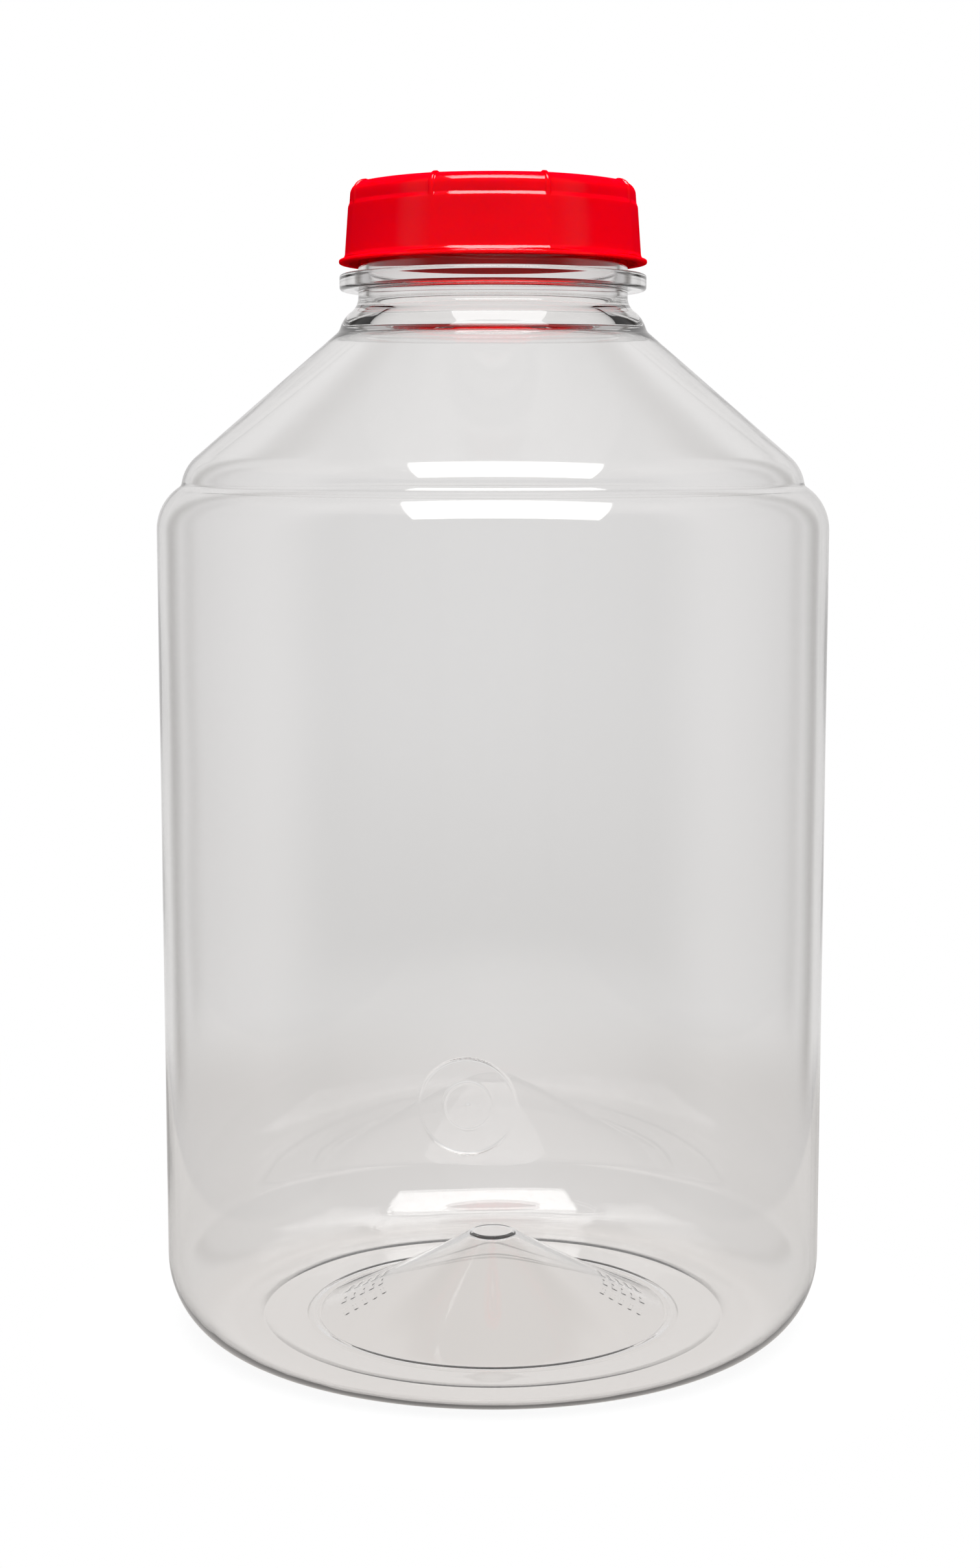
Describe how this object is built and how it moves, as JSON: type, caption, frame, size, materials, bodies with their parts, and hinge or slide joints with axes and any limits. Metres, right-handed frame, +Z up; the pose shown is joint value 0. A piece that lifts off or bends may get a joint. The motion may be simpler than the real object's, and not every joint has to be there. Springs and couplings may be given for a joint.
{
  "type": "wide-mouth water jug",
  "caption": "Large clear water jug with a pushed-up base, sloped shoulder, wide ringed neck and a red screw lid with a sealing ring.",
  "frame": {"origin": "centre of the standing plane, on the jug's axis", "axes": "+Z up along the jug's axis, front (the spigot pad's side) towards -Y, +X to the right seen from the front"},
  "size_m": [0.278, 0.2779, 0.4788],
  "materials": {
    "clear_shell": "clear glossy PET",
    "red_lid": "glossy moulded",
    "seal": "soft matt foam"
  },
  "bodies": {
    "jug": {"jug_body": "clear_shell"},
    "gasket": {"lid_gasket": "seal"},
    "lid": {"screw_lid": "red_lid"}
  },
  "joints": [
    {"name": "lid_rise", "type": "slide", "parent": "jug", "child": "gasket", "axis": [0, 0, 1], "range_m": [0, 0.0121]},
    {"name": "lid_turn", "type": "hinge", "parent": "gasket", "child": "lid", "pos_m": [0, 0, 0.46], "axis": [0, 0, 1], "range_deg": [0, 540]}
  ],
  "couplings": [
    {"joint": "lid_rise", "follows": "lid_turn", "m_per_rad": 0.0012732}
  ]
}
